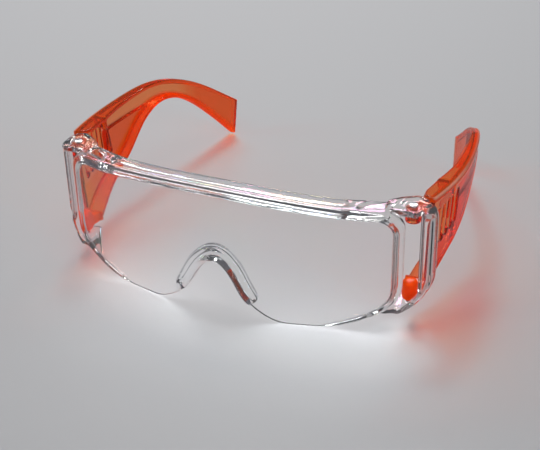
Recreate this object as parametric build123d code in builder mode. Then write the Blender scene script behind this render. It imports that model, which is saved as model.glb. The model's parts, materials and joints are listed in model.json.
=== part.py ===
from build123d import *
import os
from math import sqrt

# Safety glasses worn over spectacles: a one-piece clear front, two side arms and four hinge pins.
# +X is the wearer's left, -Y is the way the wearer looks, +Z is up. The glasses stand on Z = 0.

# --- Driving dimensions (mm) -------------------------------------------------------------------
# Hinges
hinge_x = 74.5              # each hinge axis, from the centre plane
hinge_y = -49.667           # hinge axes, from the middle of the overall length
pin_radius = 1.2
pin_clearance = 0.05        # radial, in the side arm's barrels
pin_head_radius = 1.8
pin_head_height = 0.6
barrel_radius = 3.2
barrel_gap = 0.2            # between a barrel's end and the front's plate

# Front: brow and pane
half_span = 70.0            # where the plan curves below reach their full sweep
brow_height = 56.0          # top of the brow at the centre
brow_fall = 2.55            # how far the brow's top falls by half_span
bead_height = 4.0
shelf_recess = 1.3          # the shelf lies this far below the beads
shelf_thickness = 1.8
pane_thickness = 2.0
rim_width = 3.0
rim_proud = 0.9
rest_reach = (29.5, 39.0)   # the pane's foot is flat between these distances from the centre plane

# Front: nose opening and the bead round it
nose_height = 25.0
nose_bead_top = 31.0
nose_bead_proud = 1.1       # ahead of the pane's face
nose_bead_depth = 4.2       # behind the pane's face

# Side arms
arm_radius = 175.0          # plan radius of the outer face
arm_lean = 0.05             # the arm's foot leans in under its top by this much of its height
arm_bow = 84.8              # furthest reach of the outer face from the centre plane
arm_bow_s = 42.0            # where that is, behind the hinge
arm_wall = 2.0
arm_start = 6.6             # the wall starts this far behind the hinge
arm_end = 126.5
flange_thickness = 1.8
louvre_count = 5
louvre_pitch = 4.65
louvre_width = 2.3

# Heights at the hinges
upper_plate_bottom = 51.0
upper_plate_top = 52.7
knuckle_rim_top = 53.5
upper_barrel_bottom = 45.8
lower_plate_bottom = 6.6
lower_plate_top = 8.8
lower_barrel_top = 18.2


# --- Shared curves -----------------------------------------------------------------------------
def near_hinge(points):
    """Plan points given from the left hinge axis, as points in the part's frame."""
    return [(hinge_x + dx, hinge_y + dy) for dx, dy in points]


def sweep_back(x, centre, rise, square, fourth, sixth):
    """Distance behind the hinge line of a plan curve that bends back towards the sides."""
    t = (x / half_span) ** 2
    return hinge_y + centre + rise * (square * t + fourth * t**2 + sixth * t**3)


def brow_front(x):
    return sweep_back(x, -19.8, 10.2, 0.56, 0.20, 0.24)


def brow_rear(x):
    return sweep_back(x, -11.7, 15.2, 0.24, 0.63, 0.13)


def pane_foot(x):
    return sweep_back(x, -26.3, 16.5, 1.0, 0.0, 0.0)


def pane_middle(x):
    return sweep_back(x, -24.6, 14.8, 0.80, 0.10, 0.10)


def brow_top(x):
    return brow_height - brow_fall * (x / half_span) ** 2


def plan_band(front, depth_ahead, depth_behind, reach):
    """Plan face that follows a front curve from side to side with parallel front and rear lines."""
    stations = [reach * k / 4 for k in range(-4, 5)]
    ahead = [(x, front(x) - depth_ahead) for x in stations]
    behind = [(x, front(x) + depth_behind) for x in stations]
    with BuildSketch() as band:
        with BuildLine():
            Spline(ahead)
            Line(ahead[-1], behind[-1])
            Spline(behind)
            Line(behind[0], ahead[0])
        make_face()
    return band.sketch


def pane_shell(depth_ahead, depth_behind, reach=77.0):
    """The pane's curved sheet, leaning out from the brow to its foot."""
    with BuildPart() as shell:
        with BuildSketch(Plane.XY):
            add(plan_band(pane_foot, depth_ahead, depth_behind, reach))
        with BuildSketch(Plane.XY.offset(brow_height / 2)):
            add(plan_band(pane_middle, depth_ahead, depth_behind, reach))
        with BuildSketch(Plane.XY.offset(brow_height)):
            add(plan_band(brow_front, depth_ahead, depth_behind, reach))
        loft()
    return shell.part


def brow_slab(upper, lower):
    """Slab under the crowned top line, from `upper` to `lower` below it, right through the front."""
    reach = 90.0
    crown_upper = brow_height - upper
    crown_lower = brow_height - lower
    end_upper = brow_top(reach) - upper
    end_lower = brow_top(reach) - lower
    with BuildPart() as slab:
        with BuildSketch(Plane.XZ):
            with BuildLine():
                ThreePointArc((-reach, end_upper), (0, crown_upper), (reach, end_upper))
                Line((reach, end_upper), (reach, end_lower))
                ThreePointArc((reach, end_lower), (0, crown_lower), (-reach, end_lower))
                Line((-reach, end_lower), (-reach, end_upper))
            make_face()
        extrude(amount=90, both=True)
    return slab.part


def pane_outline(inset):
    """Front view of the pane, nose opening cut out, or of the window inside a rim of width `inset`."""
    side = 73.2 - inset
    drop = 1.25 * inset
    top = brow_top(60) - drop
    corner = 9.5 - 0.6 * inset
    shoulder = side - corner
    with BuildSketch(Plane.XZ) as outline:
        with BuildLine():
            ThreePointArc((0, brow_height - drop), (32, brow_top(32) - drop), (shoulder, top))
            ThreePointArc(
                (shoulder, top),
                (side - 0.29 * corner, top - 0.29 * corner),
                (side, top - corner),
            )
            Line((side, top - corner), (side, 21))
            Spline(
                [(side, 21), (side - 2.0, 11.6), (side - 7.5, 7.2), (58.5 - inset, 3.8), (rest_reach[1], 0)],
                tangents=[(0, -1), (-1, 0)],
            )
            Line((rest_reach[1], 0), (rest_reach[0], 0))
            Spline(
                [(rest_reach[0], 0), (22.6, 2.0), (16.6, 6.0), (11.4, 11.8), (6.0, 20.9), (0, nose_height)],
                tangents=[(-1, 0), (-1, 0)],
            )
            mirror(about=Plane.YZ)
        make_face()
    return outline.sketch


# --- Front: clear one-piece moulding -----------------------------------------------------------
with BuildPart() as pane:
    add(pane_shell(0, pane_thickness))
    extrude(pane_outline(0), amount=90, both=True, mode=Mode.INTERSECT)

with BuildPart() as rim:
    add(pane_shell(rim_proud, pane_thickness + 1.4))
    extrude(pane_outline(0), amount=90, both=True, mode=Mode.INTERSECT)
    extrude(pane_outline(rim_width), amount=90, both=True, mode=Mode.SUBTRACT)

# The bead that bears on the nose is wide at the bridge and ends in a rounded foot on each side.
with BuildPart() as nose_bead:
    add(pane_shell(nose_bead_proud, nose_bead_depth, reach=30))
    with BuildSketch(Plane.XZ):
        with BuildLine():
            Spline(
                [(0, nose_bead_top), (3.8, 30.2), (7.7, 27.4), (11.0, 23.6), (14.4, 17.4), (17.6, 11.2)],
                tangents=[(1, 0), (0.4, -1)],
            )
            ThreePointArc((17.6, 11.2), (16.9, 8.8), (14.5, 8.2))
            Polyline((14.5, 8.2), (0, 8.2), (0, nose_bead_top))
        make_face()
        mirror(about=Plane.YZ)
    extrude(amount=90, both=True, mode=Mode.INTERSECT)
    extrude(pane_outline(0), amount=90, both=True, mode=Mode.INTERSECT)

# The brow shelf runs from the front bead to the rear bead; its middle is sunk between them.
stations = [16.8 * k for k in range(-4, 5)]
brow_front_line = [(x, brow_front(x) - rim_proud) for x in stations]
brow_rear_line = [(x, brow_rear(x)) for x in stations]
with BuildPart() as brow:
    with BuildSketch(Plane.XY.offset(40)):
        with BuildLine():
            Spline(brow_front_line)
            Line(brow_front_line[-1], brow_rear_line[-1])
            Spline(brow_rear_line)
            Line(brow_rear_line[0], brow_front_line[0])
        make_face()
    extrude(amount=30)
    add(brow_slab(0, bead_height), mode=Mode.INTERSECT)

channel_reach = 50.0
channel_stations = [channel_reach * k / 3 for k in range(-3, 4)]
channel_front = [(x, brow_front(x) + 2.2) for x in channel_stations]
channel_rear = [(x, brow_rear(x) - 2.0) for x in channel_stations]
with BuildPart() as channel:
    with BuildSketch(Plane.XY.offset(40)):
        with BuildLine():
            Spline(channel_front)
            ThreePointArc(
                channel_front[-1],
                (channel_reach + 2.6, (channel_front[-1][1] + channel_rear[-1][1]) / 2),
                channel_rear[-1],
            )
            Spline(channel_rear)
            ThreePointArc(
                channel_rear[0],
                (-channel_reach - 2.6, (channel_front[0][1] + channel_rear[0][1]) / 2),
                channel_front[0],
            )
        make_face()
    extrude(amount=30)

corner_pocket_plan = [
    (55.5, brow_front(55.5) + 2.3),
    (67.2, hinge_y - 6.2),
    (68.6, hinge_y - 1.6),
    (64.0, hinge_y - 1.6),
    (57.5, brow_rear(57.5) - 2.2),
]
with BuildPart() as corner_pocket:
    with BuildSketch(Plane.XY.offset(40)):
        with BuildLine():
            Polyline(corner_pocket_plan, close=True)
        make_face()
    extrude(amount=30)
    mirror(about=Plane.YZ)

with BuildPart() as recess:
    add(channel.part)
    add(corner_pocket.part)
    add(brow_slab(-2, shelf_recess), mode=Mode.INTERSECT)

with BuildPart() as underside:
    add(channel.part)
    add(corner_pocket.part)
    add(brow_slab(shelf_recess + shelf_thickness, 12), mode=Mode.INTERSECT)

# One side's frame: knuckle plate, rear pillar, lower bracket and the web under it.
knuckle_plan = near_hinge(
    [(3.4, -6.8), (6.3, 4.5), (1.3, 7.3), (-1.1, 6.4), (-5.8, 3.7), (-9.5, 0.2), (-9.0, -7.5)]
)
pocket_plan = near_hinge(
    [(2.6, -4.9), (4.6, 3.6), (1.1, 5.6), (-0.6, 5.0), (-3.9, 3.0), (-4.4, -1.8), (-2.2, -4.9)]
)
pillar_outer = near_hinge([(4.2, -3.9), (7.6, -1.2), (8.9, 4.8)])
pillar_inner = near_hinge([(6.7, 5.6), (5.9, 1.6), (4.2, -1.4)])
groove_plan = near_hinge([(6.2, -3.4), (5.8, -2.0), (7.3, 0.2), (8.8, -0.6)])
bracket_plan = near_hinge([(6.8, 4.6), (-4.8, 4.5), (-16.0, -12.4), (-7.0, -11.0), (0.5, -7.6), (5.4, -3.0)])
web_plan = near_hinge([(-4.8, 4.5), (-3.2, 4.5), (-14.2, -12.4), (-16.0, -12.4)])


def prism(points, bottom, top):
    """Upright solid on a plan polygon."""
    with BuildPart() as solid:
        with BuildSketch(Plane.XY.offset(bottom)):
            with BuildLine():
                Polyline(points, close=True)
            make_face()
        extrude(amount=top - bottom)
    return solid.part


with BuildPart() as pillar:
    with BuildSketch(Plane.XY.offset(lower_plate_bottom)):
        with BuildLine():
            Spline(pillar_outer)
            Line(pillar_outer[-1], pillar_inner[0])
            Spline(pillar_inner)
            Line(pillar_inner[-1], pillar_outer[0])
        make_face()
    extrude(amount=knuckle_rim_top - lower_plate_bottom)
    add(prism(groove_plan, 14.0, 49.0), mode=Mode.SUBTRACT)

# The pillar's foot sweeps round under the hinge to the pane's foot as one curved strip.
corner_plan = near_hinge(
    [(6.9, 5.0), (9.4, 4.6), (7.9, -1.4), (4.4, -4.4), (-2.0, -9.4), (-5.2, -8.8), (2.2, -2.6)]
)
with BuildPart() as corner_strip:
    add(prism(corner_plan, 3.0, 30.0))
    with BuildSketch(Plane.XZ):
        with BuildLine():
            Line((90, 30), (81.4, 30))
            Line((81.4, 30), (81.4, 24))
            ThreePointArc((81.4, 24.0), (79.0, 14.4), (72.5, lower_plate_top))
            Polyline((72.5, lower_plate_top), (60, lower_plate_top), (60, 0), (90, 0), (90, 30))
        make_face()
    extrude(amount=90, both=True, mode=Mode.INTERSECT)

with BuildPart() as side_frame:
    add(pillar.part)
    add(corner_strip.part)
    add(prism(knuckle_plan, upper_plate_bottom, knuckle_rim_top))
    add(prism(pocket_plan, upper_plate_top, knuckle_rim_top), mode=Mode.SUBTRACT)
    add(prism(bracket_plan, lower_plate_bottom, lower_plate_top))
    add(prism(web_plan, 3.0, lower_plate_top))
    # Front view of the side: rounded top and bottom corners outside, rising foot line inside.
    with BuildSketch(Plane.XZ):
        with BuildLine():
            Polyline((50, 60), (75.5, 60), (75.5, knuckle_rim_top))
            ThreePointArc((75.5, knuckle_rim_top), (81.4, 51.6), (84.0, 45.5))
            Line((84.0, 45.5), (84.0, 24.0))
            ThreePointArc((84.0, 24.0), (81.0, 12.8), (73.0, lower_plate_bottom))
            Polyline((73.0, lower_plate_bottom), (68.5, 6.0), (58.5, 3.5), (50, 0.5))
            Polyline((50, 0.5), (50, 4.0), (58.5, 4.6), (69.7, lower_plate_top))
            Polyline((69.7, lower_plate_top), (69.7, 45), (50, 45), (50, 60))
        make_face()
    extrude(amount=90, both=True, mode=Mode.INTERSECT)
    with BuildSketch(Plane.XY.offset(lower_plate_bottom)):
        with Locations((hinge_x, hinge_y)):
            Circle(pin_radius)
    extrude(amount=knuckle_rim_top - lower_plate_bottom, mode=Mode.SUBTRACT)

with BuildPart() as front_lens:
    add(pane.part)
    add(rim.part)
    add(brow.part)
    add(recess.part, mode=Mode.SUBTRACT)
    add(underside.part, mode=Mode.SUBTRACT)
    add(side_frame.part)
    add(side_frame.part.mirror(Plane.YZ))
    add(nose_bead.part)
front_lens.part.label = "front_lens"


# --- Hinge pins --------------------------------------------------------------------------------
upper_pin_end = 46.4
lower_pin_end = 16.0


def headed_pin(shank_bottom, shank_top, head_bottom):
    """Headed pin on the left hinge axis."""
    with BuildPart() as pin:
        with BuildSketch(Plane.XY.offset(shank_bottom)):
            with Locations((hinge_x, hinge_y)):
                Circle(pin_radius)
        extrude(amount=shank_top - shank_bottom)
        with BuildSketch(Plane.XY.offset(head_bottom)):
            with Locations((hinge_x, hinge_y)):
                Circle(pin_head_radius)
        extrude(amount=pin_head_height)
    return pin.part


with BuildPart() as hinge_pin_upper_left:
    add(headed_pin(upper_pin_end, upper_plate_top, upper_plate_top))
hinge_pin_upper_left.part.label = "hinge_pin_upper_left"

with BuildPart() as hinge_pin_upper_right:
    mirror(hinge_pin_upper_left.part, about=Plane.YZ)
hinge_pin_upper_right.part.label = "hinge_pin_upper_right"

with BuildPart() as hinge_pin_lower_left:
    add(headed_pin(lower_plate_bottom, lower_pin_end, lower_plate_bottom - pin_head_height))
hinge_pin_lower_left.part.label = "hinge_pin_lower_left"

with BuildPart() as hinge_pin_lower_right:
    mirror(hinge_pin_lower_left.part, about=Plane.YZ)
hinge_pin_lower_right.part.label = "hinge_pin_lower_right"


# --- Side arms ---------------------------------------------------------------------------------
# Side view lines as (distance behind the hinge, height).
arm_top = [
    (arm_start, 53.4), (30, 50.8), (54, 48.9), (70, 47.8), (86, 44.3), (102, 36.9), (118, 25.1), (126, 18.4),
]
arm_foot = [
    (arm_start, 10.2), (14, 13.6), (22, 16.6), (38, 20.8), (46, 23.6), (54, 28.4), (62, 33.4), (70, 36.1),
    (78, 36.6), (86, 34.7), (94, 30.7), (102, 24.5), (110, 16.2), (118, 6.7), (123.2, 0.0),
]


def outer_x(s):
    """Distance of the arm's outer face from the centre plane, at s behind the hinge and full height."""
    return arm_bow - arm_radius + sqrt(arm_radius**2 - (s - arm_bow_s) ** 2)


def arm_plan(start, end, inner_line):
    """Plan face between the arm's outer face and an inner line of (s, depth inward) points."""
    foot_shift = arm_lean * brow_height
    inner = [(outer_x(s) - depth - foot_shift, hinge_y + s) for s, depth in inner_line]
    middle = (start + end) / 2
    first = (outer_x(start) - foot_shift, hinge_y + start)
    last = (outer_x(end) - foot_shift, hinge_y + end)
    with BuildSketch() as plan:
        with BuildLine():
            ThreePointArc(first, (outer_x(middle) - foot_shift, hinge_y + middle), last)
            Line(last, inner[-1])
            Polyline(inner)
            Line(inner[0], first)
        make_face()
    return plan.sketch


def arm_side(foot_offset=0.0, top_offset=0.0):
    """Side view of the arm between its foot and top lines, each moved up by its offset."""
    top = [(hinge_y + s, z + top_offset) for s, z in arm_top]
    foot = [(hinge_y + s, z + foot_offset) for s, z in arm_foot]
    with BuildSketch(Plane.YZ) as side:
        with BuildLine():
            Spline(top)
            Line(top[-1], foot[-1])
            Spline(foot)
            Line(foot[0], top[0])
        make_face()
    return side.sketch


def arm_region(plan):
    """Everything of the arm that stands on a plan face."""
    with BuildPart() as region:
        extrude(plan, amount=brow_height, dir=(arm_lean, 0, 1))
        extrude(arm_side(), amount=100, mode=Mode.INTERSECT)
    return region.part


wall_plan = arm_plan(
    arm_start,
    arm_end,
    [(arm_start, arm_wall), (30, arm_wall), (60, arm_wall), (90, arm_wall), (arm_end, 2.6)],
)
with BuildPart() as arm_wall_body:
    add(arm_region(wall_plan))
    with BuildSketch(Plane.YZ) as louvres:
        for k in range(louvre_count):
            s = 12.5 + louvre_pitch * k
            with Locations((hinge_y + s, 36.0 + 0.06 * s)):
                SlotOverall(19.0 - 0.12 * s, louvre_width, rotation=90)
    extrude(amount=100, mode=Mode.SUBTRACT)

top_flange_plan = arm_plan(
    arm_start,
    112,
    [(arm_start, 2.2), (9, 5.6), (14, 7.0), (27, 7.2), (42, 5.8), (60, 4.8), (80, 4.0), (112, 3.0)],
)
with BuildPart() as top_flange:
    add(arm_region(top_flange_plan))
    extrude(arm_side(foot_offset=-8, top_offset=-flange_thickness), amount=100, mode=Mode.SUBTRACT)

foot_flange_plan = arm_plan(
    arm_start,
    108,
    [(arm_start, 8.4), (14, 8.4), (26, 7.6), (40, 6.6), (66, 6.0), (80, 5.2), (96, 4.0), (108, 3.0)],
)
with BuildPart() as foot_flange:
    add(arm_region(foot_flange_plan))
    extrude(arm_side(foot_offset=flange_thickness, top_offset=8), amount=100, mode=Mode.SUBTRACT)

with BuildPart() as cross_rib:
    add(arm_region(arm_plan(20, 34, [(20, 7.2), (27, 7.2), (34, 7.2)])))
    with BuildSketch(Plane.YZ):
        with BuildLine():
            Polyline(
                (hinge_y + 24.0, 60),
                (hinge_y + 26.0, 60),
                (hinge_y + 29.6, 34),
                (hinge_y + 27.8, 34),
                close=True,
            )
        make_face()
    extrude(amount=100, mode=Mode.INTERSECT)

with BuildPart() as lower_panel:
    add(arm_region(arm_plan(34, 68, [(34, 3.0), (50, 3.0), (68, 3.0)])))
    extrude(arm_side(foot_offset=20, top_offset=-10.2), amount=100, mode=Mode.SUBTRACT)

with BuildPart() as tip:
    add(arm_region(arm_plan(98, arm_end, [(98, 3.2), (106, 3.2), (115, 3.2), (arm_end, 3.2)])))

upper_link_plan = near_hinge([(-1.8, 2.6), (1.0, 6.9), (4.4, 9.0), (5.6, 7.2), (4.9, 5.4), (2.8, 1.2)])
lower_link_plan = near_hinge([(-3.0, 1.0), (-4.2, 7.4), (4.0, 7.4), (4.4, 5.4), (2.8, 1.2)])
with BuildPart() as temple_left:
    add(arm_wall_body.part)
    add(top_flange.part)
    add(foot_flange.part)
    add(cross_rib.part)
    add(lower_panel.part)
    add(tip.part)
    add(prism(upper_link_plan, upper_barrel_bottom, upper_plate_bottom - barrel_gap))
    add(prism(lower_link_plan, lower_plate_top + 2.0, lower_barrel_top - 3.0))
    with BuildSketch(Plane.XY.offset(upper_barrel_bottom)):
        with Locations((hinge_x, hinge_y)):
            Circle(barrel_radius)
    extrude(amount=upper_plate_bottom - barrel_gap - upper_barrel_bottom)
    with BuildSketch(Plane.XY.offset(lower_plate_top + barrel_gap)):
        with Locations((hinge_x, hinge_y)):
            Circle(barrel_radius)
    extrude(amount=lower_barrel_top - lower_plate_top - barrel_gap)
    with BuildSketch(Plane.XY.offset(lower_plate_top)):
        with Locations((hinge_x, hinge_y)):
            Circle(pin_radius + pin_clearance)
    extrude(amount=lower_pin_end + 0.4 - lower_plate_top, mode=Mode.SUBTRACT)
    with BuildSketch(Plane.XY.offset(upper_barrel_bottom)):
        with Locations((hinge_x, hinge_y)):
            Circle(pin_radius + pin_clearance)
    extrude(amount=upper_plate_bottom - upper_barrel_bottom, mode=Mode.SUBTRACT)

temple_left.part.label = "temple_left"

with BuildPart() as temple_right:
    mirror(temple_left.part, about=Plane.YZ)
temple_right.part.label = "temple_right"

# --- Output ------------------------------------------------------------------------------------
os.makedirs("parts", exist_ok=True)
export_step(front_lens.part, "parts/front_lens.step")
export_step(temple_left.part, "parts/temple_left.step")
export_step(temple_right.part, "parts/temple_right.step")
export_step(hinge_pin_upper_left.part, "parts/hinge_pin_upper_left.step")
export_step(hinge_pin_upper_right.part, "parts/hinge_pin_upper_right.step")
export_step(hinge_pin_lower_left.part, "parts/hinge_pin_lower_left.step")
export_step(hinge_pin_lower_right.part, "parts/hinge_pin_lower_right.step")
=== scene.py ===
import itertools
import json
import math

import bmesh
import bpy
import numpy as np
from mathutils import Matrix, Vector


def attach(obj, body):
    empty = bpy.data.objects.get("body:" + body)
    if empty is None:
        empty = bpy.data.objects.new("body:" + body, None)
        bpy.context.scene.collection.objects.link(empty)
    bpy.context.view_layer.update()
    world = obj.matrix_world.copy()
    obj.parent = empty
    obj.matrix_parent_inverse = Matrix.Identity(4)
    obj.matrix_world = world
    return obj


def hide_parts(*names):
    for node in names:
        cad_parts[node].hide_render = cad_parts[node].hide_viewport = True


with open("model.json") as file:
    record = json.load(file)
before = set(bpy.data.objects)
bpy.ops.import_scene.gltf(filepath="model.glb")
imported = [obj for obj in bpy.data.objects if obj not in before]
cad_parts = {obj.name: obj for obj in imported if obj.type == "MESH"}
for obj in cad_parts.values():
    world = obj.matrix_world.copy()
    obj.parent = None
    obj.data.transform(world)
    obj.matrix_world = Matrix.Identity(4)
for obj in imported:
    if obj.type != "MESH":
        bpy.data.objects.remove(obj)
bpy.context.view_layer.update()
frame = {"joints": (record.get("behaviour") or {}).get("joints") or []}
MM = 0.001

# The hinge axes place everything. All other sizes are in millimetres from them or from the floor.
left_hinge = next(joint for joint in frame["joints"] if joint["name"] == "left_hinge")
HINGE_X, HINGE_Y = (round(v / MM, 4) for v in left_hinge["pos_m"][:2])
HALF_SPAN = 70.0            # from the middle of the front to where its wrap is measured
BROW_HEIGHT = 56.0

# Spacing of the grids that the mouldings are drawn on
FRONT_STEP = 0.45
ARM_STEP = 0.42
PLAIN_STEP = 0.9     # where the front has little detail


# --- Drawing with distance fields -----------------------------------------------------------------
# Every moulding is a field that is negative inside the plastic. Fields are combined with softened
# joins, like a moulding's fillets, and their zero surface becomes the mesh.
def smooth_max(a, b, soft):
    """Common part of two fields, its edges rounded over about `soft` mm."""
    step = np.maximum(soft - np.abs(a - b), 0)
    return np.maximum(a, b) + step * step * (0.25 / soft)


def smooth_min(a, b, soft):
    """Union of two fields, its inner corners filled over about `soft` mm."""
    return -smooth_max(-a, -b, soft)


def curve(points, count=12, start=None, end=None):
    """Points along a smooth curve through the given points; start and end are optional directions."""
    points = np.array(points, float)
    lengths = np.linalg.norm(np.diff(points, axis=0), axis=1)
    knots = np.concatenate([[0], np.cumsum(lengths)])
    n = len(points)
    matrix, right = np.zeros((n, n)), np.zeros((n, 2))
    for i in range(1, n - 1):
        before, after = lengths[i - 1], lengths[i]
        matrix[i, i - 1 : i + 2] = after, 2 * (before + after), before
        right[i] = 3 * (
            after / before * (points[i] - points[i - 1]) + before / after * (points[i + 1] - points[i])
        )
    for i, near, direction, length in ((0, 1, start, lengths[0]), (n - 1, n - 2, end, lengths[-1])):
        matrix[i, i] = 1 if direction is not None else 2
        if direction is not None:
            right[i] = np.array(direction) / np.linalg.norm(direction)
        else:
            matrix[i, near] = 1
            right[i] = 3 * (points[near] - points[i]) / length * (1 if i == 0 else -1)
    slopes = np.linalg.solve(matrix, right)
    out = []
    for i in range(n - 1):
        u = np.linspace(0, 1, count, endpoint=False)[:, None]
        length = knots[i + 1] - knots[i]
        out.append(
            (1 + 2 * u) * (1 - u) ** 2 * points[i]
            + u * (1 - u) ** 2 * length * slopes[i]
            + u**2 * (3 - 2 * u) * points[i + 1]
            + u**2 * (u - 1) * length * slopes[i + 1]
        )
    return [tuple(p) for p in np.concatenate(out + [points[-1:]])]


def arc(a, b, c, count=16):
    """Points along the circle through three points, from the first to the last."""
    (ax, ay), (bx, by), (cx, cy) = a, b, c
    d = 2 * (ax * (by - cy) + bx * (cy - ay) + cx * (ay - by))
    ux = ((ax**2 + ay**2) * (by - cy) + (bx**2 + by**2) * (cy - ay) + (cx**2 + cy**2) * (ay - by)) / d
    uy = ((ax**2 + ay**2) * (cx - bx) + (bx**2 + by**2) * (ax - cx) + (cx**2 + cy**2) * (bx - ax)) / d
    radius = math.hypot(ax - ux, ay - uy)
    first, mid, last = (math.atan2(py - uy, px - ux) for px, py in (a, b, c))
    turn = (last - first) % math.tau
    if (mid - first) % math.tau > turn:
        turn -= math.tau
    return [
        (ux + radius * math.cos(first + turn * k / count), uy + radius * math.sin(first + turn * k / count))
        for k in range(count + 1)
    ]


def distance_to_line(u, v, points):
    """Distance from each grid point to an open line."""
    best = np.full(np.broadcast(u, v).shape, 1e6, np.float32)
    for (au, av), (bu, bv) in zip(points, points[1:]):
        eu, ev = bu - au, bv - av
        t = np.clip(((u - au) * eu + (v - av) * ev) / (eu * eu + ev * ev + 1e-12), 0, 1)
        best = np.minimum(best, (u - au - t * eu) ** 2 + (v - av - t * ev) ** 2)
    return np.sqrt(best)


def polygon(u, v, points):
    """Signed distance from each grid point to a closed outline, negative inside."""
    closed = list(points) + [points[0]]
    inside = np.zeros(np.broadcast(u, v).shape, bool)
    for (au, av), (bu, bv) in zip(closed, closed[1:]):
        if av != bv:
            crosses = (av > v) != (bv > v)
            inside ^= crosses & (u < (bu - au) * (v - av) / (bv - av) + au)
    distance = distance_to_line(u, v, closed)
    return np.where(inside, -distance, distance)


def slab(w, low, high, soft=0.5):
    return smooth_max(low - w, w - high, soft)


def spaced(*spans):
    """Grid lines over (start, end, spacing) spans that follow on from each other."""
    lines = [np.arange(start, end - 1e-6, step) for start, end, step in spans]
    return np.concatenate(lines + [[spans[-1][1]]]).astype(np.float32)


def sample(values, axes, points):
    """Values of a gridded field at points, by trilinear interpolation."""
    index, share = [], []
    for k in range(3):
        i = np.clip(np.searchsorted(axes[k], points[:, k], side="right") - 1, 0, len(axes[k]) - 2)
        index.append(i)
        share.append(np.clip((points[:, k] - axes[k][i]) / (axes[k][i + 1] - axes[k][i]), 0, 1))
    total = 0
    for corner in itertools.product((0, 1), repeat=3):
        weight = 1
        for k in range(3):
            weight = weight * (share[k] if corner[k] else 1 - share[k])
        total = total + weight * values[tuple(index[k] + corner[k] for k in range(3))]
    return total


def surface(values, axes):
    """Vertices, normals and quads of the surface where the field is zero."""
    inside = values < 0
    shape = np.array(values.shape) - 1
    corners = np.zeros(shape, np.uint8)
    for a, b, c in itertools.product((0, 1), repeat=3):
        corners += inside[a : a + shape[0], b : b + shape[1], c : c + shape[2]]
    active = (corners > 0) & (corners < 8)
    cells = np.argwhere(active)
    index = np.full(shape, -1, np.int32)
    index[active] = np.arange(len(cells))

    # Each cell that the surface passes through gets one vertex, at the mean of its edge crossings.
    where, found = np.zeros((len(cells), 3)), np.zeros(len(cells))
    for axis in range(3):
        others = [k for k in range(3) if k != axis]
        for a, b in itertools.product((0, 1), repeat=2):
            start = cells.copy()
            start[:, others[0]] += a
            start[:, others[1]] += b
            end = start.copy()
            end[:, axis] += 1
            first, last = values[tuple(start.T)], values[tuple(end.T)]
            crosses = (first < 0) != (last < 0)
            share = np.where(crosses, first / np.where(crosses, first - last, 1), 0)
            for k in range(3):
                low, high = axes[k][start[:, k]], axes[k][end[:, k]]
                where[:, k] += np.where(crosses, low + share * (high - low), 0)
            found += crosses
    where /= found[:, None]

    # The vertices are drawn onto the surface, and their normals come from the field.
    slopes = [np.gradient(values, axes[k], axis=k) for k in range(3)]
    for _ in range(3):
        slope = np.stack([sample(s, axes, where) for s in slopes], 1)
        steep = np.maximum((slope**2).sum(1), 0.05)
        step = slope * (sample(values, axes, where) / steep)[:, None]
        where -= np.clip(step, -0.2, 0.2)
    normals = np.stack([sample(s, axes, where) for s in slopes], 1)
    normals /= np.linalg.norm(normals, axis=1)[:, None] + 1e-12

    quads = []
    for axis in range(3):
        u, v = (axis + 1) % 3, (axis + 2) % 3
        low = [slice(None)] * 3
        high = [slice(None)] * 3
        low[axis], high[axis] = slice(None, -1), slice(1, None)
        start_inside = inside[tuple(low)]
        edges = np.argwhere(start_inside != inside[tuple(high)])
        keep = (edges[:, u] > 0) & (edges[:, v] > 0) & (edges[:, u] < shape[u]) & (edges[:, v] < shape[v])
        edges = edges[keep]
        outward = start_inside[tuple(edges.T)]
        ring = []
        for du, dv in ((0, 0), (1, 0), (1, 1), (0, 1)):
            cell = edges.copy()
            cell[:, u] -= du
            cell[:, v] -= dv
            ring.append(index[tuple(cell.T)])
        ring = np.stack(ring, 1)
        quads.append(np.where(outward[:, None], ring, ring[:, ::-1]))
    return where, normals, np.concatenate(quads)


def inward_thickness(values, axes, where, normals, deepest=6.0, step=0.5):
    """How much plastic lies under each vertex, along its normal."""
    thickness = np.zeros(len(where))
    open_yet = np.ones(len(where), bool)
    for k in range(1, int(deepest / step) + 1):
        open_yet &= sample(values, axes, where - normals * step * k) < 0
        thickness += np.where(open_yet, step, 0)
    return thickness


def build_piece(name, vertices, normals, quads, attributes=None):
    """Mesh object, in metres, with its own smooth normals."""
    mesh = bpy.data.meshes.new(name)
    mesh.vertices.add(len(vertices))
    mesh.vertices.foreach_set("co", (vertices * MM).astype(np.float32).ravel())
    mesh.loops.add(4 * len(quads))
    mesh.loops.foreach_set("vertex_index", quads.astype(np.int32).ravel())
    mesh.polygons.add(len(quads))
    mesh.polygons.foreach_set("loop_start", np.arange(0, 4 * len(quads), 4, dtype=np.int32))
    mesh.polygons.foreach_set("use_smooth", np.ones(len(quads), bool))
    mesh.update(calc_edges=True)
    mesh.validate()
    for key, data in (attributes or {}).items():
        mesh.attributes.new(key, "FLOAT", "POINT").data.foreach_set("value", data.astype(np.float32))
    mesh.normals_split_custom_set_from_vertices(normals.astype(np.float32))
    obj = bpy.data.objects.new(name, mesh)
    bpy.context.scene.collection.objects.link(obj)
    return obj


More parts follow.
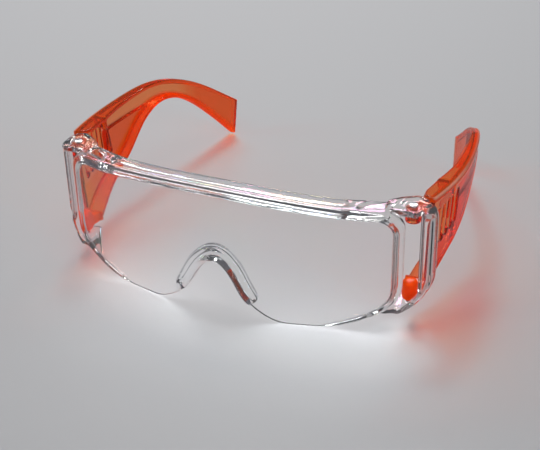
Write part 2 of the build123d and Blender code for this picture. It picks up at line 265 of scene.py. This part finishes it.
# --- The front: pane, rim, brow, hinge corners and nose bead --------------------------------------
PANE_HALF_WIDTH = 73.2
PANE_WALL = 2.0
RIM_WIDTH, RIM_RAMP = 3.0, 0.9              # the ramp is the rim's sloping inner edge
RIM_AHEAD, RIM_BEHIND = 0.9, 1.4            # how far the rim stands proud of the pane's two faces
NOSE_HEIGHT = 25.0
NOSE_BEAD_TOP = 31.0
NOSE_BEAD_AHEAD, NOSE_BEAD_BEHIND = 1.2, 3.6    # the bead's two faces, from the pane's front face
CROWN_INSET, CROWN_HALF_WIDTH = 1.6, 1.8    # the bead's crown, from the pane's edge to its middle
BROW_THICKNESS = 4.0
BROW_SLANT = 0.93                           # makes sizes along y square to the brow's swept faces
FRONT_BEAD, REAR_BEAD = 2.2, 2.0            # widths of the beads on either side of the channel
BROW_END = 67.2                             # half the brow's length; the hinge corners go on from there
CHANNEL_END = 51.6
CHANNEL_DEPTH = 1.3                         # the shelf is sunk this far between its beads
SHELF_FOOT = 3.1                            # from the brow's top to the shelf's underside
KNUCKLE = (51.0, 53.5)                      # heights of the plate over the hinge
PILLAR_FOOT = 6.6
BRACKET_TOP = 8.8
CORNER_FOOT = 3.0
PIN_BORE = 1.25                             # radius


def sweep_back(x, centre, rise, square, fourth, sixth):
    """How far a line across the front has swept back at x, as a y position."""
    t = (x / HALF_SPAN) ** 2
    return HINGE_Y + centre + rise * (square * t + fourth * t**2 + sixth * t**3)


def brow_front(x):
    return sweep_back(x, -19.8, 10.2, 0.56, 0.20, 0.24)


def brow_rear(x):
    return sweep_back(x, -11.7, 15.2, 0.24, 0.63, 0.13)


def brow_top(x):
    return BROW_HEIGHT - 2.55 * (x / HALF_SPAN) ** 2


def pane_face(x, z):
    """Where the pane's front face is; it bulges forward between the brow and the foot."""
    foot = sweep_back(x, -26.3, 16.5, 1.0, 0.0, 0.0)
    middle = sweep_back(x, -24.6, 14.8, 0.80, 0.10, 0.10)
    v = z / BROW_HEIGHT
    return foot * (1 - v) * (1 - 2 * v) + middle * 4 * v * (1 - v) + brow_front(x) * v * (2 * v - 1)


def both_halves(half):
    """Closed outline from its wearer's left half, which starts and ends on the middle line."""
    return half + [(-x, z) for x, z in half[::-1]]


def pane_outline(inset):
    """Outline of the pane from in front, with its top and sides drawn in by `inset`."""
    side, corner = PANE_HALF_WIDTH - inset, 9.5 - 0.6 * inset
    drop = 1.25 * inset
    top = brow_top(60) - drop
    half = arc((0, BROW_HEIGHT - drop), (32, brow_top(32) - drop), (side - corner, top))
    half += arc((side - corner, top), (side - 0.29 * corner, top - 0.29 * corner), (side, top - corner))
    half += curve(
        [(side, 21), (side - 2.0, 11.6), (side - 7.5, 7.2), (58.5 - inset, 3.8), (39, 0)],
        start=(0, -1), end=(-1, 0),
    )
    half += curve(
        [(29.5, 0), (22.6, 2.0), (16.6, 6.0), (11.4, 11.8), (6.0, 20.9), (0, NOSE_HEIGHT)],
        start=(-1, 0), end=(-1, 0),
    )
    return both_halves(half)


def nose_bead_outline():
    """Outer edge of the bead round the nose opening, closed across the opening."""
    half = curve(
        [(0, NOSE_BEAD_TOP), (3.8, 30.2), (7.7, 27.4), (11.0, 23.6), (14.4, 17.4), (17.6, 11.2)],
        start=(1, 0), end=(0.4, -1),
    )
    half += arc((17.6, 11.2), (16.9, 8.8), (14.5, 8.2)) + [(0, 8.2)]
    return both_halves(half)


class FrontGrid:
    """Grid points of the wearer's left half of the front."""

    def __init__(self, x, y, z):
        self.x, self.y, self.z = x[:, None, None], y[None, :, None], z[None, None, :]
        self.face = pane_face(self.x, self.z)
        # Turns a distance along y into one square to the pane
        lean_x, lean_z = np.gradient(self.face[:, 0, :], x, z)
        self.square = 1 / np.sqrt(1 + lean_x**2 + lean_z**2)[:, None, :]

    def sheet(self, ahead, behind, soft=0.5):
        """Plastic from `ahead` in front of the pane's face to `behind` at its back, square to it."""
        front = (self.face - ahead - self.y) * self.square
        rear = (self.y - self.face - behind) * self.square
        return smooth_max(front, rear, soft)

    def prism(self, points, low, high, soft=0.6):
        """Upright block whose plan is given from the hinge axis."""
        plan = [(HINGE_X + dx, HINGE_Y + dy) for dx, dy in points]
        return smooth_max(polygon(self.x, self.y, plan), slab(self.z, low, high, soft), soft)


def pane(grid, outline):
    """Pane with its rim proud on both faces."""
    rim = np.clip(polygon(grid.x, grid.z, pane_outline(RIM_WIDTH)) / RIM_RAMP + 0.5, 0, 1)
    rim = rim * rim * (3 - 2 * rim)
    return smooth_max(grid.sheet(RIM_AHEAD * rim, PANE_WALL + RIM_BEHIND * rim), outline, 0.9)


def brow_bar(grid):
    """Solid bar along the top, from the pane's face back to the brow's rear edge."""
    ahead = brow_front(grid.x) - RIM_AHEAD - grid.y
    bar = smooth_max(ahead, grid.y - brow_rear(grid.x), 0.5) * BROW_SLANT
    bar = smooth_max(bar, grid.x - BROW_END, 0.5)
    return smooth_max(bar, slab(grid.z - brow_top(grid.x), -BROW_THICKNESS, 0.0, 1.4), 1.8)


def brow_hollows(grid):
    """Plan of what is sunk between the brow's two beads: the long channel and the pocket at its end."""
    behind_bead = brow_front(grid.x) + FRONT_BEAD - grid.y
    channel = smooth_max(behind_bead, grid.y - brow_rear(grid.x) + REAR_BEAD, 1.5)
    channel = smooth_max(channel, grid.x - CHANNEL_END, 3.5)
    pocket = polygon(grid.x, grid.y, [
        (55.5, brow_front(55.5) + 2.3), (67.2, HINGE_Y - 6.2), (68.6, HINGE_Y - 1.6),
        (64.0, HINGE_Y - 1.6), (57.5, brow_rear(57.5) - 2.2),
    ])
    return np.minimum(channel, pocket)


def knuckle(grid):
    """Plate over the hinge, with its recess for the pin's head."""
    plan = [(3.4, -6.8), (6.3, 4.5), (1.3, 7.3), (-1.1, 6.4), (-5.8, 3.7), (-9.5, 0.2), (-9.0, -7.5)]
    recess = [(2.6, -4.9), (4.6, 3.6), (1.1, 5.6), (-0.6, 5.0), (-3.9, 3.0), (-4.4, -1.8), (-2.2, -4.9)]
    plate = grid.prism(plan, *KNUCKLE, soft=0.45)
    return smooth_max(plate, -grid.prism(recess, 52.6, BROW_HEIGHT, soft=0.4), 0.35)


def pillar(grid):
    plan = curve([(4.2, -3.9), (7.6, -1.2), (8.9, 4.8)]) + curve([(6.7, 5.6), (5.9, 1.6), (4.2, -1.4)])
    return grid.prism(plan, PILLAR_FOOT, KNUCKLE[1])


def pillar_groove(grid):
    return grid.prism([(6.2, -3.4), (5.8, -2.0), (7.3, 0.2), (8.8, -0.6)], 12.0, 50.0, soft=4.0)


def bracket(grid):
    """Plate under the hinge."""
    plan = [(6.8, 4.6), (-4.8, 4.5), (-16.0, -12.4), (-7.0, -11.0), (0.5, -7.6), (5.4, -3.0)]
    return grid.prism(plan, PILLAR_FOOT, BRACKET_TOP)


def bracket_web(grid):
    """Upright wall along the bracket's inner edge."""
    return grid.prism([(-4.8, 4.5), (-3.2, 4.5), (-14.2, -12.4), (-16.0, -12.4)], CORNER_FOOT, BRACKET_TOP)


def corner_strip(grid):
    """Outer strip that runs down the pillar and turns in under the bracket."""
    plan = [(6.9, 5.0), (9.4, 4.6), (7.9, -1.4), (4.4, -4.4), (-2.0, -9.4), (-5.2, -8.8), (2.2, -2.6)]
    kept = [(81.4, 60), (81.4, 24)] + arc((81.4, 24.0), (79.0, 14.4), (72.5, BRACKET_TOP))
    kept += [(60, BRACKET_TOP), (60, -5), (95, -5), (95, 60)]
    strip = grid.prism(plan, CORNER_FOOT, KNUCKLE[1])
    return smooth_max(strip, polygon(grid.x, grid.z, kept), 0.7)


def corner_silhouette():
    """Outline of the whole hinge corner from in front."""
    outline = [(50, 60), (75.5, 60)] + arc((75.5, 53.5), (81.4, 51.6), (84.0, 45.5))
    outline += arc((84.0, 24.0), (81.0, 12.8), (73.0, PILLAR_FOOT))
    outline += [(68.5, 6.0), (58.5, 3.5), (50, 0.5), (50, 4.0), (58.5, 4.6)]
    return outline + [(69.7, BRACKET_TOP), (69.7, 45), (50, 45)]


def hinge_corner(grid):
    corner = smooth_min(knuckle(grid), pillar(grid), 0.4)
    for part in (bracket(grid), bracket_web(grid), corner_strip(grid)):
        corner = smooth_min(corner, part, 0.7)
    corner = smooth_max(corner, -pillar_groove(grid), 0.9)
    corner = smooth_max(corner, polygon(grid.x, grid.z, corner_silhouette()), 0.9)
    bore = np.hypot(grid.x - HINGE_X, grid.y - HINGE_Y) - PIN_BORE
    return smooth_max(corner, -bore, 0.3)


def nose_bead(grid, outline):
    """Bead round the nose opening, highest midway between its edges."""
    edge = smooth_max(polygon(grid.x, grid.z, nose_bead_outline()), outline, 1.0)
    crown = np.clip(1 - ((outline + CROWN_INSET) / CROWN_HALF_WIDTH) ** 2, 0, 1)
    return smooth_max(grid.sheet(NOSE_BEAD_AHEAD + crown, NOSE_BEAD_BEHIND + crown, 0.7), edge, 0.8)


def front_field(x, y, z):
    grid = FrontGrid(x, y, z)
    outline = polygon(grid.x, grid.z, pane_outline(0))
    field = smooth_min(pane(grid, outline), brow_bar(grid), 0.45)
    below_top, hollows = grid.z - brow_top(grid.x), brow_hollows(grid)
    over_shelf = smooth_max(hollows, slab(below_top, -CHANNEL_DEPTH, 4.0), 0.6)
    under_shelf = smooth_max(hollows, slab(below_top, -13.0, -SHELF_FOOT), 0.6)
    field = smooth_max(field, -over_shelf, 1.2)
    field = smooth_max(field, -under_shelf, 0.9)
    field = smooth_min(field, hinge_corner(grid), 0.7)
    return smooth_min(field, nose_bead(grid, outline), 0.4)


def mirrored(values, x):
    """A field given for x >= 0, carried over to both sides."""
    return np.concatenate([values[:0:-1], values]), np.concatenate([-x[:0:-1], x])


def build_front():
    x = spaced((0, 20, FRONT_STEP), (20, 54, PLAIN_STEP), (54, 85.5, FRONT_STEP))
    y = spaced((HINGE_Y - 30, HINGE_Y + 9, FRONT_STEP))
    z = spaced((-1, 13, FRONT_STEP), (13, 43, PLAIN_STEP * 0.75), (43, 57.5, FRONT_STEP))
    values, both_x = mirrored(front_field(x, y, z), x)
    piece = build_piece("clear_front", *surface(values, (both_x, y, z)))
    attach(piece, "front")
    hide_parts("front_lens")
    return piece


# --- The side arms --------------------------------------------------------------------------------
# An arm is drawn upright, from the outer face of its wall inwards, and then leans.
ARM_LEAN = 0.05                             # the foot leans in under the top by this much of the height
ARM_START = 6.6                             # from the hinge axis back to the wall's front edge
BOW_RADIUS, BOW_MIDDLE = 175.0, (-90.2, 42.0)   # circle that the outer face follows, from above
WALL, TIP_WALL = 2.0, 3.2
FLANGE = 1.8                                # thickness of the inward flanges along top and foot
PANEL = 3.0
RIB_REACH = 7.2
SLOT_COUNT, SLOT_SPACING, FIRST_SLOT = 5, 4.65, 12.5
SLOT_RADIUS, SLOT_TOP = 1.15, 45.5
SLOT_LENGTH, SLOT_SHORTENING = 19.0, 0.12   # the shortening is for each mm back from the hinge axis
BARREL_RADIUS, BARREL_BORE = 3.2, 1.3
UPPER_BARREL, LOWER_BARREL = (45.8, 50.8), (9.0, 18.2)     # heights
LOWER_LINK = (10.8, 15.2)

# Side view, as distances back from the hinge axis and heights
ARM_TOP = curve([
    (ARM_START, 53.4), (30, 50.8), (54, 48.9), (70, 47.8), (86, 44.3), (102, 36.9), (118, 25.1), (126, 18.4),
])
ARM_FOOT = curve([
    (ARM_START, 10.2), (14, 13.6), (22, 16.6), (38, 20.8), (46, 23.6), (54, 28.4), (62, 33.4),
    (70, 36.1), (78, 36.6), (86, 34.7), (94, 30.7), (102, 24.5), (110, 16.2), (118, 6.7), (123.2, 0.0),
])
# Depth of each flange from the outer face, at distances back from the hinge axis
TOP_FLANGE = [
    (ARM_START, 2.2), (9, 5.6), (14, 7), (27, 7.2), (42, 5.8), (60, 4.8), (80, 4.0), (112, TIP_WALL),
    (122, 1.0),
]
FOOT_FLANGE = [
    (ARM_START, 8.4), (14, 8.4), (26, 7.6), (40, 6.6), (66, 6.0), (80, 5.2), (96, 4.0), (108, TIP_WALL),
    (122, 1.0),
]


def outer_depth(x, along):
    """How far inside the arm's outer face a point is."""
    return BOW_RADIUS - np.hypot(x - BOW_MIDDLE[0], along - BOW_MIDDLE[1])


class ArmGrid:
    """Grid points of the wearer's left arm, with its lean taken out."""

    def __init__(self, x, y, z):
        self.x, self.along, self.z = x[:, None, None], y[None, :, None] - HINGE_Y, z[None, None, :]
        self.depth = outer_depth(self.x, self.along)
        # The hinge stays upright when the arm leans, so its parts are placed in true x.
        self.hinge_x = self.x - ARM_LEAN * (BROW_HEIGHT - self.z) - HINGE_X

    def layer(self, stations, soft=0.6):
        """Plastic from the outer face inwards, as deep as the (distance, depth) stations say."""
        limit = np.interp(self.along.ravel(), *zip(*stations)).astype(np.float32)[None, :, None]
        return smooth_max(-self.depth, self.depth - limit, soft)

    def even_layer(self, depth):
        return self.layer([(0, depth), (130, depth)])

    def prism(self, points, low, high, soft=0.6):
        """Upright block whose plan is given from the hinge axis."""
        return smooth_max(polygon(self.hinge_x, self.along, points), slab(self.z, low, high, soft), soft)


def side_wall(grid):
    """Wall with its flanges, inner panel and upright rib, cut to the arm's side view."""
    below_top = distance_to_line(grid.along, grid.z, ARM_TOP)
    above_foot = distance_to_line(grid.along, grid.z, ARM_FOOT)
    wall = grid.layer([(0, WALL), (92, WALL), (104, TIP_WALL), (130, TIP_WALL)])
    top_flange = smooth_max(grid.layer(TOP_FLANGE), below_top - FLANGE, 0.7)
    foot_flange = smooth_max(grid.layer(FOOT_FLANGE), above_foot - FLANGE, 0.7)
    panel = smooth_max(grid.even_layer(PANEL), slab(grid.along, 30.0, 68.0, 3.0), 0.6)
    panel = smooth_max(panel, 9.6 - below_top, 0.6)
    rib = polygon(grid.along, grid.z, [(24.0, 60), (26.0, 60), (29.6, 33), (27.8, 33)])
    rib = smooth_max(grid.even_layer(RIB_REACH), rib, 0.6)
    field = smooth_min(wall, top_flange, 0.8)
    for part in (foot_flange, panel, rib):
        field = smooth_min(field, part, 0.7)
    return smooth_max(field, polygon(grid.along, grid.z, ARM_TOP + ARM_FOOT[::-1]), 0.9)


def cut_slots(field, grid):
    """Upright vent slots with level tops, each a little shorter than the one in front of it."""
    for k in range(SLOT_COUNT):
        place = FIRST_SLOT + SLOT_SPACING * k
        half_length = (SLOT_LENGTH - SLOT_SHORTENING * place) / 2
        from_middle = np.abs(grid.z - (SLOT_TOP - half_length))
        past_straight = np.maximum(from_middle - (half_length - SLOT_RADIUS), 0)
        slot = np.hypot(grid.along - place, past_straight) - SLOT_RADIUS
        field = smooth_max(field, -slot, 0.6)
    return field


def add_hinge(field, grid):
    """Links from the wall's front edge to the two bored barrels."""
    upper_plan = [(-1.8, 2.6), (1.0, 6.9), (4.4, 9.0), (5.6, 7.2), (4.9, 5.4), (2.8, 1.2)]
    lower_plan = [(-3.0, 1.0), (-4.2, 7.4), (4.0, 7.4), (4.4, 5.4), (2.8, 1.2)]
    field = smooth_min(field, grid.prism(upper_plan, *UPPER_BARREL), 0.8)
    field = smooth_min(field, grid.prism(lower_plan, *LOWER_LINK), 0.8)
    from_axis = np.hypot(grid.hinge_x, grid.along)
    for span, end_round in ((UPPER_BARREL, 0.5), (LOWER_BARREL, 2.2)):
        barrel = smooth_max(from_axis - BARREL_RADIUS, slab(grid.z, *span, 0.5), end_round)
        field = smooth_min(field, barrel, 0.5)
    # The upper barrel is bored through, and the lower one from below.
    bored = np.minimum(slab(grid.z, 44, 56), slab(grid.z, 5, 16.4))
    return smooth_max(field, -np.maximum(from_axis - BARREL_BORE, bored), 0.3)


def arm_field(x, y, z):
    grid = ArmGrid(x, y, z)
    return add_hinge(cut_slots(side_wall(grid), grid), grid)


def light_patterns(values, axes, where, normals):
    """Masks of painted light on the tinted plastic: a painted glow for the light it would gather in its thick
    parts, along its foot and outline and on the lower lug, and a painted highlight on its outer edges.
    """
    along, height = where[:, 1] - HINGE_Y, where[:, 2]
    outline_gap = distance_to_line(along, height, ARM_TOP + ARM_FOOT[::-1])
    foot_gap = distance_to_line(along, height, ARM_FOOT)
    lug_gap = np.hypot(where[:, 0] - HINGE_X, along) - 4.5
    thickness = inward_thickness(values, axes, where, normals)
    # Painted glow: bands along the foot and round the outline, the lower lug and the thick parts get a denser
    # orange that stands in for light gathered there.
    foot_band = np.clip(1.6 - foot_gap / 2.2, 0, 1) * np.interp(along, [6, 30, 50], [0.35, 0.5, 1.0])
    rim_band = 0.35 * np.clip(1.6 - outline_gap / 1.6, 0, 1)
    lower_lug = np.clip(1 - lug_gap / 4.0, 0, 1) * (height < 30)
    thick = np.clip(thickness / 3.5 - 0.6, 0, 1) * 0.7
    # Painted highlight: a pale band on the outer corner of the outline, strongest near the hinge.
    corner_gap = np.hypot(outline_gap, outer_depth(where[:, 0], along))
    edge = np.clip(1.5 - corner_gap / 0.7, 0, 1) * np.interp(along, [25, 50, 120], [1.0, 0.4, 0.6])
    return {"painted_glow_mask": np.maximum.reduce([foot_band, rim_band, lower_lug, thick]), "edge": edge}


def build_arms():
    axes = (
        spaced((60, 87.5, ARM_STEP)),
        spaced((HINGE_Y - 4, HINGE_Y + 128, ARM_STEP)),
        spaced((-1.5, 55, ARM_STEP)),
    )
    values = arm_field(*axes)
    where, normals, quads = surface(values, axes)
    patterns = light_patterns(values, axes, where, normals)
    where[:, 0] -= ARM_LEAN * (BROW_HEIGHT - where[:, 2])
    normals[:, 2] -= ARM_LEAN * normals[:, 0]
    normals /= np.linalg.norm(normals, axis=1)[:, None]
    arms = []
    for side, sign in (("left", 1), ("right", -1)):
        mirror = np.array([sign, 1, 1])
        arm = build_piece("orange_arm_" + side, where * mirror, normals * mirror, quads[:, ::sign], patterns)
        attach(arm, side + "_arm")
        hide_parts("temple_" + side)
        arms.append(arm)
    return arms


# --- Hinge pins -----------------------------------------------------------------------------------
PIN_SEGMENTS = 48
SHANK_RADIUS, SHANK_TIP_RADIUS, SHANK_CHAMFER = 1.18, 0.9, 0.3
# Radius and height above its seat of each turn of the head, from its rim in to the dimple's middle
PIN_HEAD = [
    (1.8, 0.0), (1.8, 0.38), (1.72, 0.52), (1.55, 0.6), (0.75, 0.6), (0.66, 0.5), (0.6, 0.3), (0.0, 0.22),
]
# Where each pin's head sits, which way is up for it and how long its shank is
PINS = {"upper": (52.7, 1, 6.3), "lower": (6.6, -1, 9.4)}


def turned_ring(bm, centre, radius, height):
    """Vertices round the axis at one turn of the profile; a single one where it meets the axis."""
    ring = []
    for k in range(PIN_SEGMENTS if radius else 1):
        angle = math.tau * k / PIN_SEGMENTS
        place = (centre[0] + radius * math.cos(angle), centre[1] + radius * math.sin(angle), height)
        ring.append(bm.verts.new([v * MM for v in place]))
    return ring


def build_pin(level, side, sign):
    seat, up, length = PINS[level]
    shank = [(0.0, -length), (SHANK_TIP_RADIUS, -length)]
    shank += [(SHANK_RADIUS, -length + SHANK_CHAMFER), (SHANK_RADIUS, 0.0)]
    bm = bmesh.new()
    rings = [
        turned_ring(bm, (sign * HINGE_X, HINGE_Y), radius, seat + up * height)
        for radius, height in shank + PIN_HEAD
    ]
    for low, high in itertools.pairwise(rings):
        for k in range(PIN_SEGMENTS):
            a, b = low[k % len(low)], low[(k + 1) % len(low)]
            c, d = high[(k + 1) % len(high)], high[k % len(high)]
            bm.faces.new(list(dict.fromkeys((a, b, c, d))))
    bmesh.ops.recalc_face_normals(bm, faces=bm.faces)
    mesh = bpy.data.meshes.new(f"turned_pin_{level}_{side}")
    bm.to_mesh(mesh)
    bm.free()
    mesh.polygons.foreach_set("use_smooth", np.ones(len(mesh.polygons), bool))
    mesh.set_sharp_from_angle(angle=math.radians(40))
    pin = bpy.data.objects.new(mesh.name, mesh)
    bpy.context.scene.collection.objects.link(pin)
    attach(pin, "front")
    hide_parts(f"hinge_pin_{level}_{side}")
    return pin


# --- Materials ------------------------------------------------------------------------------------
PLASTIC_IOR = 1.585


class Nodes:
    """Shorthand for one material's node tree."""

    def __init__(self, name):
        self.material = bpy.data.materials.new(name)
        self.material.use_nodes = True
        self.tree = self.material.node_tree
        self.tree.nodes.clear()
        self.out = self.tree.nodes.new("ShaderNodeOutputMaterial")

    def add(self, kind, **inputs):
        """New node; each keyword names an input, given as a value or as a socket to link."""
        node = self.tree.nodes.new("ShaderNode" + kind)
        for key, value in inputs.items():
            self.give(value, node.inputs[key.replace("_", " ")])
        return node

    def give(self, value, socket):
        if isinstance(value, bpy.types.NodeSocket):
            self.tree.links.new(value, socket)
        else:
            socket.default_value = value

    def shader(self, kind, **inputs):
        return self.add(kind, **inputs).outputs[0]

    def coords(self, scale=(1, 1, 1), rotation=(0, 0, 0)):
        source = self.tree.nodes.new("ShaderNodeTexCoord").outputs["Object"]
        return self.add("Mapping", Vector=source, Scale=scale, Rotation=rotation).outputs["Vector"]

    def noise(self, coords, scale, detail=3.0):
        return self.add("TexNoise", Vector=coords, Scale=scale, Detail=detail).outputs["Fac"]

    def attribute(self, name):
        node = self.tree.nodes.new("ShaderNodeAttribute")
        node.attribute_name = name
        return node.outputs["Fac"]

    def remap(self, value, low, high, from_low=0.3, from_high=0.7):
        """Value carried from one range to another; a noise node's values lie mostly in 0.3 to 0.7."""
        span = {"From_Min": from_low, "From_Max": from_high, "To_Min": low, "To_Max": high}
        return self.add("MapRange", Value=value, **span).outputs["Result"]

    def bump(self, height, strength, distance, **base):
        """Bumped normal, on top of another one given as Normal."""
        return self.add("Bump", Height=height, Strength=strength, Distance=distance, **base).outputs["Normal"]

    def mix(self, share, first, second):
        node = self.tree.nodes.new("ShaderNodeMixShader")
        for value, socket in zip((share, first, second), node.inputs):
            self.give(value, socket)
        return node.outputs[0]

    def finish(self, surface, volume=None):
        self.tree.links.new(surface, self.out.inputs["Surface"])
        if volume:
            self.tree.links.new(volume, self.out.inputs["Volume"])
        return self.material


def polished_plastic(n, tint, gloss, calm, film=False):
    """Clear moulded surface with fine handling scratches, faint flow ripple and smudges."""
    smudge = n.noise(n.coords(), 26.0, 4.0)
    scratch = n.noise(n.coords((60, 60, 1400), (0.3, 0.2, 0.5)), 1.0, 2.0)
    flow = n.noise(n.coords((40, 40, 70)), 1.0, 2.0)
    normal = n.bump(flow, 0.05, 0.0006, Normal=n.bump(scratch, 0.05, 0.00005))
    roughness = n.remap(smudge, 0.0, 0.05)
    glossy = n.add(
        "BsdfPrincipled", Base_Color=tint, Transmission_Weight=1.0, IOR=PLASTIC_IOR, Normal=normal,
        Roughness=roughness, Specular_IOR_Level=gloss,
    )
    if film:
        # Moulding stress leaves a faint oily sheen, given as a thin film in nanometres.
        n.give(n.remap(n.noise(n.coords(), 14.0, 1.0), 280.0, 620.0), glossy.inputs["Thin Film Thickness"])
        n.give(1.45, glossy.inputs["Thin Film IOR"])
    # This share of the surface reflects nothing, so that the pale floor doesn't wash out the colour.
    quiet = n.shader(
        "BsdfRefraction", Color=[c**0.5 for c in tint], IOR=PLASTIC_IOR, Normal=normal, Roughness=roughness,
    )
    return n.mix(calm, glossy.outputs["BSDF"], quiet)


def gathered_light(n, colour, back):
    """Light that dyed plastic scatters: the share `back` from its face, the rest through it."""
    return n.mix(back, n.shader("BsdfTranslucent", Color=colour), n.shader("BsdfDiffuse", Color=colour))


def solid_plastic(n, surface, shadow, painted_inner_glow, absorb, density):
    """Gives the surface a body that absorbs light, and a painted glow for light that stays trapped inside."""
    path = n.tree.nodes.new("ShaderNodeLightPath")
    # Light passes on to the floor instead of leaving a black shadow.
    surface = n.mix(path.outputs["Is Shadow Ray"], surface, n.shader("BsdfTransparent", Color=shadow))
    # Light that is still inside after four reflections gets a painted glow, an emission of a fixed colour.
    trapped = n.tree.nodes.new("ShaderNodeMath")
    trapped.operation = "GREATER_THAN"
    trapped.inputs[1].default_value = 3.5
    n.give(path.outputs["Glossy Depth"], trapped.inputs[0])
    surface = n.mix(trapped.outputs[0], surface, n.shader("Emission", Color=painted_inner_glow, Strength=1.0))
    return n.finish(surface, n.add("VolumeAbsorption", Color=absorb, Density=density).outputs["Volume"])


def clear_polycarbonate():
    n = Nodes("clear_polycarbonate")
    surface = polished_plastic(n, tint=(0.99, 0.995, 1.0, 1), gloss=0.5, calm=0.15, film=True)
    # The deep colour is a painted dim grey glow for light trapped inside.
    return solid_plastic(
        n, surface, shadow=(0.90, 0.91, 0.92, 1), painted_inner_glow=(0.13, 0.13, 0.14, 1),
        absorb=(0.80, 0.90, 0.95, 1), density=8.0,
    )


def orange_polycarbonate():
    """See-through on the walls, denser and brighter in the thick parts and along the foot by a painted glow,
    pale along the outer edges by a painted highlight.
    """
    n = Nodes("orange_polycarbonate")
    surface = polished_plastic(n, tint=(1.0, 0.80, 0.62, 1), gloss=0.2, calm=0.35)
    # Painted glow: dense orange scattering where the glow mask is set.
    painted_glow = gathered_light(n, (1.0, 0.20, 0.012, 1), 0.5)
    surface = n.mix(n.remap(n.attribute("painted_glow_mask"), 0.02, 0.62, 0.0, 1.0), surface, painted_glow)
    # Painted highlight: pale scattering along the outer edges, where the edge mask is set.
    pale = gathered_light(n, (1.0, 0.72, 0.52, 1), 0.6)
    surface = n.mix(n.remap(n.attribute("edge"), 0.0, 0.7, 0.0, 1.0), surface, pale)
    # The deep colour is a painted dark red glow for light trapped inside.
    return solid_plastic(
        n, surface, shadow=(0.98, 1.0, 0.96, 1), painted_inner_glow=(0.45, 0.05, 0.005, 1),
        absorb=(1.0, 0.48, 0.0, 1), density=850.0,
    )


def pin_steel():
    n = Nodes("pin_steel")
    grain = n.noise(n.coords(), 1500.0)
    return n.finish(n.shader(
        "BsdfPrincipled", Base_Color=(0.78, 0.78, 0.80, 1), Metallic=1.0,
        Roughness=n.remap(grain, 0.12, 0.32), Normal=n.bump(grain, 0.15, 0.00005),
    ))


def floor_paint():
    n = Nodes("floor")
    return n.finish(n.shader("BsdfPrincipled", Base_Color=(0.47, 0.47, 0.48, 1), Roughness=0.6))


# --- Stage ----------------------------------------------------------------------------------------
FLOOR_REACH = 3.0           # metres either side of the glasses
FLOOR_DROP = 0.0002
# Each light: where it is and how high it aims, its width and height, all in metres, and its watts
LIGHTS = {
    "key": ((-0.30, 0.62, 0.95), 0.02, 0.26, 0.18, 4.0),
    "overhead": ((0.2, 0.1, 1.6), 0.02, 1.4, 1.0, 2.6),
    "back": ((-0.48, 1.0, 0.95), 0.03, 1.2, 0.22, 8.0),
    "left": ((-0.95, -0.55, 0.45), 0.03, 0.05, 0.7, 1.8),
    "side": ((1.0, -0.25, 0.45), 0.03, 0.05, 0.6, 1.2),
    "front": ((-0.25, -0.75, 1.0), 0.03, 0.8, 0.06, 1.6),
}
SKY_COLOUR, SKY_STRENGTH = (0.9, 0.93, 1.0, 1), 0.14
# Camera: angles in degrees about the point it looks at, distance and lens in millimetres
AZIMUTH, ELEVATION, ROLL = 23.662, 31.602, -1.308
LOOK_BEHIND_HINGE, LOOK_HEIGHT = 31.618, 9.045
DISTANCE, LENS, SENSOR = 535.151, 80.065, 36.0


def build_floor():
    reach = FLOOR_REACH
    mesh = bpy.data.meshes.new("floor")
    corners = [(-reach, -reach, 0), (reach, -reach, 0), (reach, reach, 0), (-reach, reach, 0)]
    mesh.from_pydata(corners, [], [(0, 1, 2, 3)])
    mesh.materials.append(floor_paint())
    floor = bpy.data.objects.new("floor", mesh)
    bpy.context.scene.collection.objects.link(floor)
    floor.location.z = -FLOOR_DROP


def light_studio():
    for name, (place, aim_height, width, height, power) in LIGHTS.items():
        data = bpy.data.lights.new(name, "AREA")
        data.shape, data.size, data.size_y, data.energy = "RECTANGLE", width, height, power
        light = bpy.data.objects.new(name, data)
        bpy.context.scene.collection.objects.link(light)
        light.location = place
        aim = Vector((0, 0, aim_height)) - Vector(place)
        light.rotation_euler = aim.to_track_quat("-Z", "Y").to_euler()
    world = bpy.data.worlds.new("studio")
    world.use_nodes = True
    sky = world.node_tree.nodes["Background"]
    sky.inputs["Color"].default_value = SKY_COLOUR
    sky.inputs["Strength"].default_value = SKY_STRENGTH
    bpy.context.scene.world = world
    # The plain transform keeps the orange saturated.
    bpy.context.scene.view_settings.view_transform = "Standard"


def place_camera():
    azimuth, elevation, roll = (math.radians(angle) for angle in (AZIMUTH, ELEVATION, ROLL))
    target = Vector((0.0, HINGE_Y + LOOK_BEHIND_HINGE, LOOK_HEIGHT)) * MM
    level = math.cos(elevation)
    out = Vector((math.sin(azimuth) * level, -math.cos(azimuth) * level, math.sin(elevation)))
    data = bpy.data.cameras.new("camera")
    data.sensor_width, data.lens = SENSOR, LENS
    data.clip_start, data.clip_end = 0.01, 20
    camera = bpy.data.objects.new("camera", data)
    bpy.context.scene.collection.objects.link(camera)
    camera.location = target + out * DISTANCE * MM
    camera.rotation_mode = "QUATERNION"
    tilt = Matrix.Rotation(roll, 4, "Z").to_quaternion()
    camera.rotation_quaternion = (-out).to_track_quat("-Z", "Y") @ tilt
    bpy.context.scene.camera = camera


# --- Building it all ------------------------------------------------------------------------------
build_front().data.materials.append(clear_polycarbonate())
orange = orange_polycarbonate()
for arm in build_arms():
    arm.data.materials.append(orange)
steel = pin_steel()
for side, sign in (("left", 1), ("right", -1)):
    for level in PINS:
        build_pin(level, side, sign).data.materials.append(steel)
build_floor()
light_studio()
place_camera()
